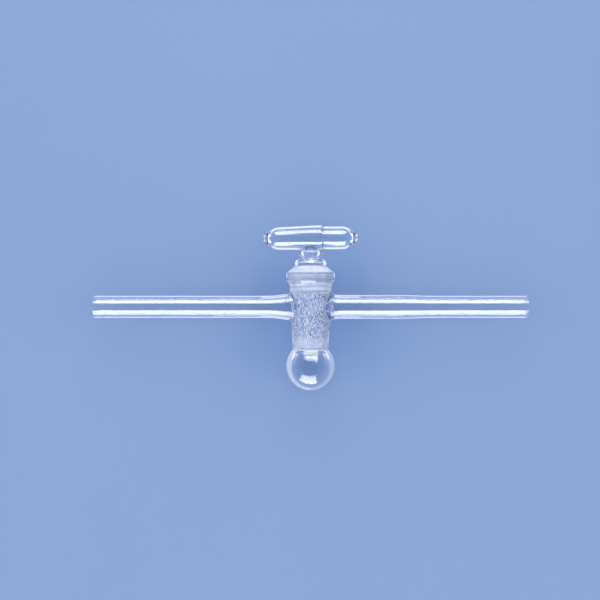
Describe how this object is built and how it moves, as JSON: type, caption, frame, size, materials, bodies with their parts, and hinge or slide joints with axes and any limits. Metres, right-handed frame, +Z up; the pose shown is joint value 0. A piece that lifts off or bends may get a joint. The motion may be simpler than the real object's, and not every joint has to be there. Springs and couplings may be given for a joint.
{
  "type": "glass stopcock",
  "caption": "Glass stopcock for vacuum lines: a hollow ground plug with a T handle turns in a tapered barrel with straight side arms and a closed bulb.",
  "frame": {"origin": "on the surface the stopcock lies on, straight below the crossing of the barrel axis and the arm axis", "axes": "+X along the right arm, +Y along the barrel axis towards the handle, +Z up, away from the surface"},
  "size_m": [0.197, 0.0749, 0.022],
  "materials": {
    "barrel_glass": "clear, ground dull on the tapered seat",
    "plug_glass": "clear, ground dull on the taper"
  },
  "bodies": {
    "barrel": {"barrel": "barrel_glass"},
    "plug": {"plug": "plug_glass"}
  },
  "joints": [
    {"name": "plug_turn", "type": "hinge", "parent": "barrel", "child": "plug", "pos_m": [0, 0, 0.011], "axis": [0, 1, 0], "continuous": true}
  ]
}
